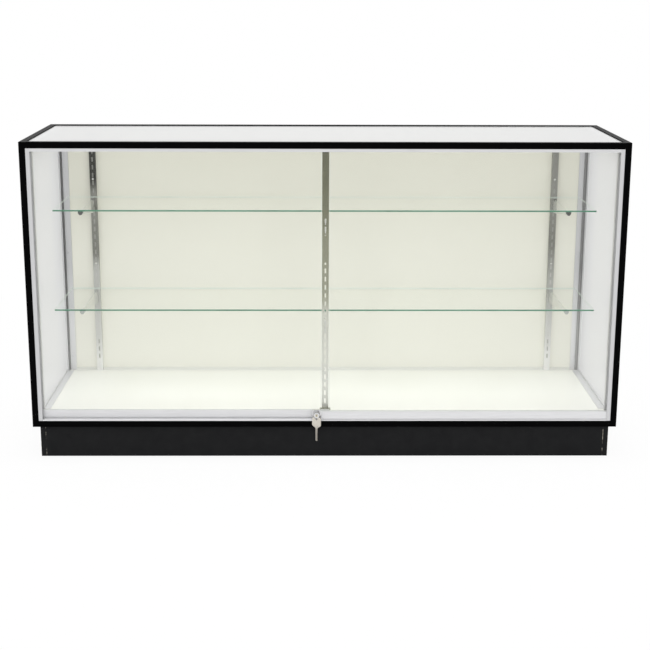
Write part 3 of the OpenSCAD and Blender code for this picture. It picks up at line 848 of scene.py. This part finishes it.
def standard_screws(head, skin):
    """Screws in the wall standards, halfway between one slot and the next."""
    web_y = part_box("wall_standards")[0].y
    above = (SLOT_PITCH + SLOT_HEIGHT) / 2
    places = [
        (middle, web_y, standard_slot(number) + above)
        for middle in standard_middles() for number in SCREWED_SLOTS]
    fasten("standard_screws", head, places, skin)


def channel_screws(side, head, skin):
    """Screws in the flange of a rear channel."""
    low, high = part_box(side + "_rear_channel")
    flange_x = low.x + FLANGE_INSET if side == "right" else high.x - FLANGE_INSET
    places = [(flange_x, high.y - FLANGE_BACK, z) for z in FLANGE_SCREW_HEIGHTS]
    fasten(side + "_channel_screws", head, places, skin)


def glazing_bead(skin):
    """A thin sealing bead that fills the joint between the top glass and the tubes."""
    low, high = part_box("top_glass")
    bead = block("top_glazing_bead", low - BEAD_REACH, high + BEAD_REACH)
    edit_faces(bead, lambda normal: abs(normal.z) > LEVEL_FACE)
    bpy.ops.mesh.inset(thickness=BEAD_REACH.x - BEAD_CLEAR)
    bpy.ops.mesh.bridge_edge_loops()
    bpy.ops.mesh.select_all(action="SELECT")
    bpy.ops.mesh.normals_make_consistent(inside=False)
    end_editing()
    fit_to_case(bead, skin)


def corner_cord(side, skin):
    """A rubber cord that lies in the corner between a rear channel's flange and its leg."""
    channel_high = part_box(side + "_rear_channel")[1]
    jamb_low, jamb_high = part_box(side + "_jamb")
    if side == "right":
        high_x = jamb_low.x - CORD_CLEAR
        low_x = high_x - CORD_WIDTHS[side]
    else:
        low_x = jamb_high.x + CORD_CLEAR
        high_x = low_x + CORD_WIDTHS[side]
    flange_y = channel_high.y - FLANGE_BACK - CORD_CLEAR
    deck_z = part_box("deck")[1].z
    cord = block(side + "_corner_cord",
                 Vector((low_x, flange_y - CORD_DEPTH, deck_z + CORD_CLEAR)),
                 Vector((high_x, flange_y, channel_high.z - CORD_CLEAR)))
    round_long_edges(cord, "z", CORD_ROUND)
    smooth(cord)
    fit_to_case(cord, skin)


def thin_strip(name, middle, half, steel_y, foot, head):
    """An upright strip of thin sheet with eased edges, close behind a face of steel."""
    near_y = steel_y + STRIP_CLEAR
    strip = block(name,
                  Vector((middle - half, near_y, foot)),
                  Vector((middle + half, near_y + STRIP_THICK, head)))
    bevel(strip, STRIP_EASE, steps=1)
    return strip


def post_backing(name, skin):
    """A strip on the far side of the centre post that closes some of its slots."""
    foot, head = BACKING_HEIGHTS[name]
    strip = thin_strip(name, 0, BACKING_HALF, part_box("centre_post")[1].y, foot, head)
    fit_to_case(strip, skin)


def standard_lining(skin):
    """Strips inside the wall standards, close behind the slots that hold no bracket, in painted shade and
    light.
    """
    web_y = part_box("wall_standards")[0].y + STANDARD_SHEET
    strips = []
    for middle in standard_middles():
        for first, last in LINED_SLOTS:
            foot = standard_slot(first) - LINING_LAP
            head = standard_slot(last) + SLOT_HEIGHT + LINING_LAP
            strips.append(thin_strip("standard_lining", middle, LINING_HALF, web_y, foot, head))
    fit_to_case(join(strips, "standard_lining"), skin)


# Camera, light and floor

def add_camera():
    data = bpy.data.cameras.new("camera")
    data.lens = LENS_MM
    data.sensor_width = SENSOR_MM
    data.clip_end = SIGHT_END
    camera = bpy.data.objects.new("camera", data)
    camera.location = CAMERA_AT
    pan = Matrix.Rotation(CAMERA_PAN, 3, "Z")
    tilt = Matrix.Rotation(CAMERA_TILT, 3, "X")
    roll = Matrix.Rotation(CAMERA_ROLL, 3, "Z")
    camera.rotation_euler = (pan @ tilt @ roll).to_euler()
    bpy.context.scene.collection.objects.link(camera)
    bpy.context.scene.camera = camera


def add_softbox(name, at, aim, size, power):
    """A lamp that lights the case and isn't seen itself."""
    data = bpy.data.lights.new(name, "AREA")
    data.shape = "RECTANGLE"
    data.size, data.size_y = size
    data.energy = power
    lamp = bpy.data.objects.new(name, data)
    lamp.location = at
    lamp.rotation_euler = (Vector(aim) - Vector(at)).to_track_quat("-Z", "Y").to_euler()
    lamp.visible_camera = False
    lamp.visible_glossy = False
    bpy.context.scene.collection.objects.link(lamp)


def add_world():
    """Even light all round, with plain white where the background is seen."""
    world = bpy.data.worlds.new("studio")
    world.use_nodes = True
    tree = world.node_tree
    light = tree.nodes["Background"]
    light.inputs["Color"].default_value = WHITE
    light.inputs["Strength"].default_value = AMBIENT
    backdrop = add_node(tree, "Background", Color=WHITE)
    shown = mix(tree, seen_directly(tree), light, backdrop)
    feed(tree, tree.nodes["World Output"].inputs["Surface"], shown)
    bpy.context.scene.world = world


def add_floor():
    """A white floor that keeps the case's soft shadow and fades to plain white away from it."""
    deselect()
    bpy.ops.mesh.primitive_plane_add(size=FLOOR_WIDTH)
    floor = bpy.context.active_object
    floor.name = "floor"
    skin = finish("floor_white", grey(0.85), roughness=0.9, specular=0.0)
    tree = skin.node_tree
    away = tree.nodes.new("ShaderNodeVectorMath")
    away.operation = "LENGTH"
    feed(tree, away.inputs[0], own_place(tree))
    glow_share = rescale(tree, away.outputs["Value"], SHADOW_REACH, (FLOOR_GLOW, 1.0))
    paint = tree.nodes["Principled BSDF"]
    pale = mix(tree, glow_share, paint, add_node(tree, "Emission"))
    show(tree, mix(tree, seen_directly(tree), paint, pale))
    floor.data.materials.append(skin)


# Finishes of this case
BLACK = {axis: black_anodised(axis) for axis in "xyz"}
SILVER = {axis: satin_aluminium("satin_aluminium", axis, shade=0.73) for axis in "xy"}
# Jambs: the same satin aluminium in a darker painted shade
SHADED_JAMB_SILVER = satin_aluminium("shaded_jamb_aluminium", "z", shade=0.60)
# Rear channels: painted light from the deck at the foot
CHANNEL_SILVER = channel_aluminium()
PALE_SILVER = satin_aluminium("pale_aluminium", "y", shade=0.72, metallic=0.2)
TRACK_SILVER = satin_aluminium("track_aluminium", "x", shade=0.75, metallic=0.3)
# Head track: the same satin aluminium in a darker painted shade
HEAD_SILVER = satin_aluminium("head_aluminium", "x", shade=0.62, metallic=0.2)
BEAD_SILVER = satin_aluminium("bead_aluminium", "x", shade=0.74, metallic=0.15, blue=0.95)
LAMINATE = black_laminate()
CHIPPED = chipped_laminate()
BOARD = bare_board()
DECK_WHITE = white_melamine()
# Back panel: cream, with painted shade towards the top
CREAM = cream_melamine()
CAST = cast_zinc()
# Standards and post: steel with painted shade, darker towards the top
LEFT_STEEL = height_shaded_zinc("left_standard_steel", LEFT_STANDARD, STANDARD_YELLOWING)
RIGHT_STEEL = height_shaded_zinc("right_standard_steel", RIGHT_STANDARD, STANDARD_YELLOWING)
POST_STEEL = height_shaded_zinc("post_steel", CENTRE_POST, POST_YELLOWING)
# Slot lining: painted shade and light for the slots
LINING_STEEL = height_shaded_zinc("lining_steel", SLOT_LINING, STANDARD_YELLOWING, LINING_BLOTCH)
ZINC = bright_zinc()
STEEL = drawn_steel()
CHROME = satin_chrome()
BRASS = turned_brass()
NICKEL = worn_nickel()
RUBBER = dusty_rubber("black_rubber", shade=0.03)
# Corner cords: rubber whose grey also paints the corners' shade, with painted light at the foot
CORD_RUBBER = {side: corner_rubber(side) for side in SIDES}
CUSHION = worn_cushion()
VINYL = pale_vinyl()
NYLON = moulded_nylon()
END_GLASS = hazy_glass("end_glass", (0.92, 0.921, 0.92), shade=0.90, lit_from_behind=0.85, shine=0.17)
TOP_GLASS = hazy_glass("top_glass", (0.97, 0.972, 0.97), shade=0.61, lit_from_behind=0.3, shine=0.4)
DOOR_GLASS = clear_glass("door_glass", (0.99, 0.992, 0.99), index=1.25)
SHELF_GLASS = clear_glass("shelf_glass", (0.988, 0.993, 0.988), index=1.2)
CLEAR_EDGE = glass_edge("clear_edge", deep=(0.66, 0.71, 0.68), pale=(0.84, 0.88, 0.85))
SHELF_EDGE = glass_edge("shelf_edge", deep=(0.05, 0.19, 0.11), pale=(0.09, 0.27, 0.17))
FAINT_EDGE = glass_edge("faint_edge", deep=(0.62, 0.70, 0.65), pale=(0.76, 0.82, 0.77))

add_camera()
add_world()
for name, softbox in SOFTBOXES.items():
    add_softbox(name, **softbox)
add_floor()

# Frame of black tubes
for place in ("front_bottom", "front_top", "rear_bottom", "rear_top"):
    tube(place + "_rail", "x")
for place in ("left_bottom", "left_top", "right_bottom", "right_top"):
    tube(place + "_rail", "y")
for place in ("front_left", "front_right", "rear_left", "rear_right"):
    tube(place + "_post", "z")
dress("corner_connectors", CAST)

# Base
for place in ("front", "rear", "left", "right"):
    chip_corners(eased("kick_" + place, "_board", BOARD_EASE, LAMINATE), CHIPPED)
dress("kick_stretcher", BOARD)
dress("kick_corner_blocks", BOARD)

# Deck, back and their metal beads
eased("deck", "_board", BOARD_EASE, DECK_WHITE)
eased("back_panel", "_board", SHEET_EASE, CREAM)
for side in SIDES:
    eased(side + "_deck_bead", "_strip", EXTRUSION_EASE, PALE_SILVER)
eased("rear_deck_bead", "_strip", EXTRUSION_EASE, BEAD_SILVER)

# Ledges, shoes, tracks, jambs and channels
for node, skin in (
        ("front_ledge", SILVER["x"]), ("rear_ledge", SILVER["x"]), ("side_ledges", SILVER["y"]),
        ("left_door_shoe", SILVER["x"]), ("right_door_shoe", SILVER["x"]),
        ("lower_track", TRACK_SILVER), ("upper_track", HEAD_SILVER)):
    eased(node, "_extrusion", EXTRUSION_EASE, skin)
for side in SIDES:
    eased(side + "_jamb", "_extrusion", EXTRUSION_EASE, SHADED_JAMB_SILVER)
    eased(side + "_rear_channel", "_extrusion", EXTRUSION_EASE, CHANNEL_SILVER)
    corner_cord(side, CORD_RUBBER[side])

# Glass
for node, thin, skin in (
        ("left_end_glass", "x", END_GLASS), ("right_end_glass", "x", END_GLASS),
        ("top_glass", "z", TOP_GLASS),
        ("left_door_glass", "y", DOOR_GLASS), ("right_door_glass", "y", DOOR_GLASS)):
    pane(node, thin, skin, CLEAR_EDGE)
for node in ("upper_shelf", "lower_shelf"):
    pane(node, "z", SHELF_GLASS, FAINT_EDGE, SHELF_EDGE)
dress("glass_setting_strips", RUBBER)

# Door running gear
for side in SIDES:
    dress(side + "_door_gasket", VINYL)
    dress(side + "_door_axles", ZINC)
    dress(side + "_roller_a", NYLON)
    dress(side + "_roller_b", NYLON)

# Standards, brackets and their rubbers
finish_right_half(eased("wall_standards", "_channel", SHEET_EASE, LEFT_STEEL), RIGHT_STEEL)
eased("centre_post", "_channel", SHEET_EASE, POST_STEEL)
eased("upper_brackets", "_plate", SHEET_EASE, ZINC)
eased("lower_brackets", "_plate", SHEET_EASE, ZINC)
dress("shelf_cushions", CUSHION)
# Backing strips in the post's steel, with its painted shade
for name in BACKING_HEIGHTS:
    post_backing(name, POST_STEEL)
standard_lining(LINING_STEEL)

# Small fasteners and the sealing bead
screw_head = pan_head()
standard_screws(screw_head, ZINC)
for side in SIDES:
    channel_screws(side, screw_head, CHANNEL_SILVER)
bpy.data.objects.remove(screw_head)
glazing_bead(RUBBER)

# Lock and key
eased("lock_case", "_body", LOCK_EASE, CHROME)
dress("lock_plug", BRASS)
dress("key_ring", STEEL)
eased("spare_key", "_blank", KEY_EASE, NICKEL, plain=False)

bpy.context.scene.view_settings.view_transform = "Standard"
bpy.context.scene.cycles.transparent_max_bounces = GLASS_LAYERS
